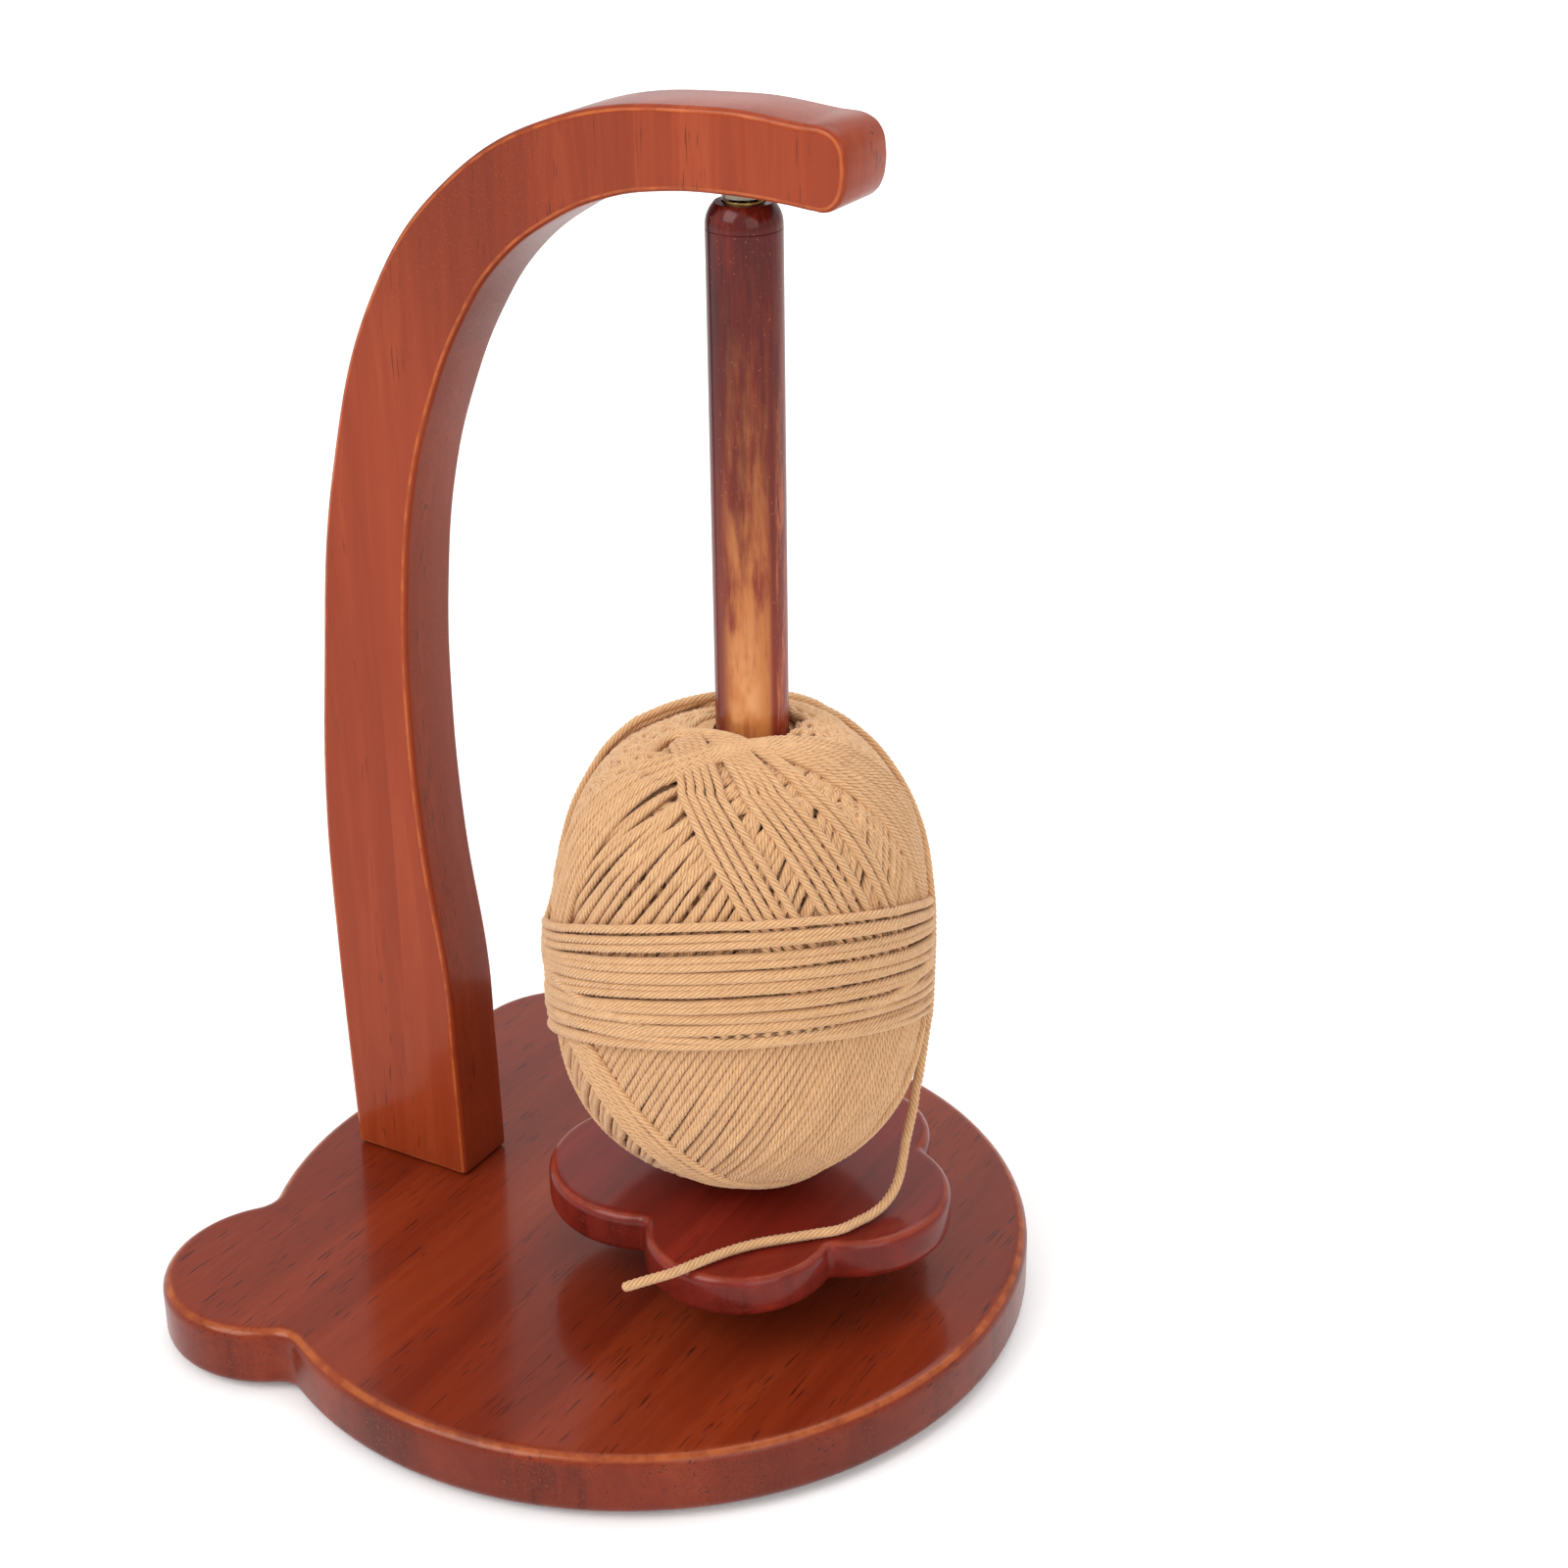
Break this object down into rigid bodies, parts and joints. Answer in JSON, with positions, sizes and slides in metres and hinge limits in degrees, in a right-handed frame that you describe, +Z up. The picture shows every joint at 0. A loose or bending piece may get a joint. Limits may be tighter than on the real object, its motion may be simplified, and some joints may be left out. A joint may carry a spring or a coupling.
{
  "type": "yarn ball holder",
  "caption": "Wooden yarn ball holder: a post with a flower plate hangs from a magnet in an arched arm and spins with the yarn ball over an eared round base.",
  "frame": {"origin": "on the table, under the middle of the round base", "axes": "+Z up; the arm stands at -X and reaches over to +X, and the post hangs at +X"},
  "size_m": [0.1997, 0.2, 0.3122],
  "materials": {
    "stained_wood": "satin lacquer over a red-brown stain",
    "dark_wood": "satin lacquer over a dark mahogany stain",
    "zinc_steel": "yellow zinc plating",
    "bright_steel": "nickel plating",
    "brass": "polished",
    "rubber_pad": "matte",
    "tan_yarn": "plied tan yarn"
  },
  "bodies": {
    "frame": {"base_board": "stained_wood", "foot_pad_1": "rubber_pad", "foot_pad_2": "rubber_pad", "foot_pad_3": "rubber_pad", "foot_pad_4": "rubber_pad", "arch_arm": "stained_wood", "arm_screw_outer": "zinc_steel", "arm_screw_inner": "zinc_steel", "arm_insert_outer": "brass", "arm_insert_inner": "brass", "magnet_pot": "bright_steel", "arm_magnet": "bright_steel"},
    "pivot": {"pivot_ball": "bright_steel"},
    "spindle": {"spindle_post": "dark_wood", "pivot_cup": "brass", "cup_screw": "bright_steel", "flower_plate": "dark_wood", "plate_screw": "bright_steel"},
    "yarn": {"yarn_core": "tan_yarn", "yarn_winding": "tan_yarn", "yarn_cross_winding": "tan_yarn", "yarn_band": "tan_yarn", "yarn_tail": "tan_yarn"}
  },
  "joints": [
    {"name": "spindle_drop", "type": "slide", "parent": "frame", "child": "pivot", "axis": [0, 0, 1], "range_m": [-0.0155, 0]},
    {"name": "spindle_spin", "type": "hinge", "parent": "pivot", "child": "spindle", "pos_m": [0.035, 0, 0.2895], "axis": [0, 0, 1], "continuous": true},
    {"name": "yarn_lift", "type": "slide", "parent": "spindle", "child": "yarn", "axis": [0, 0, 1], "range_m": [0, 0.11]}
  ]
}
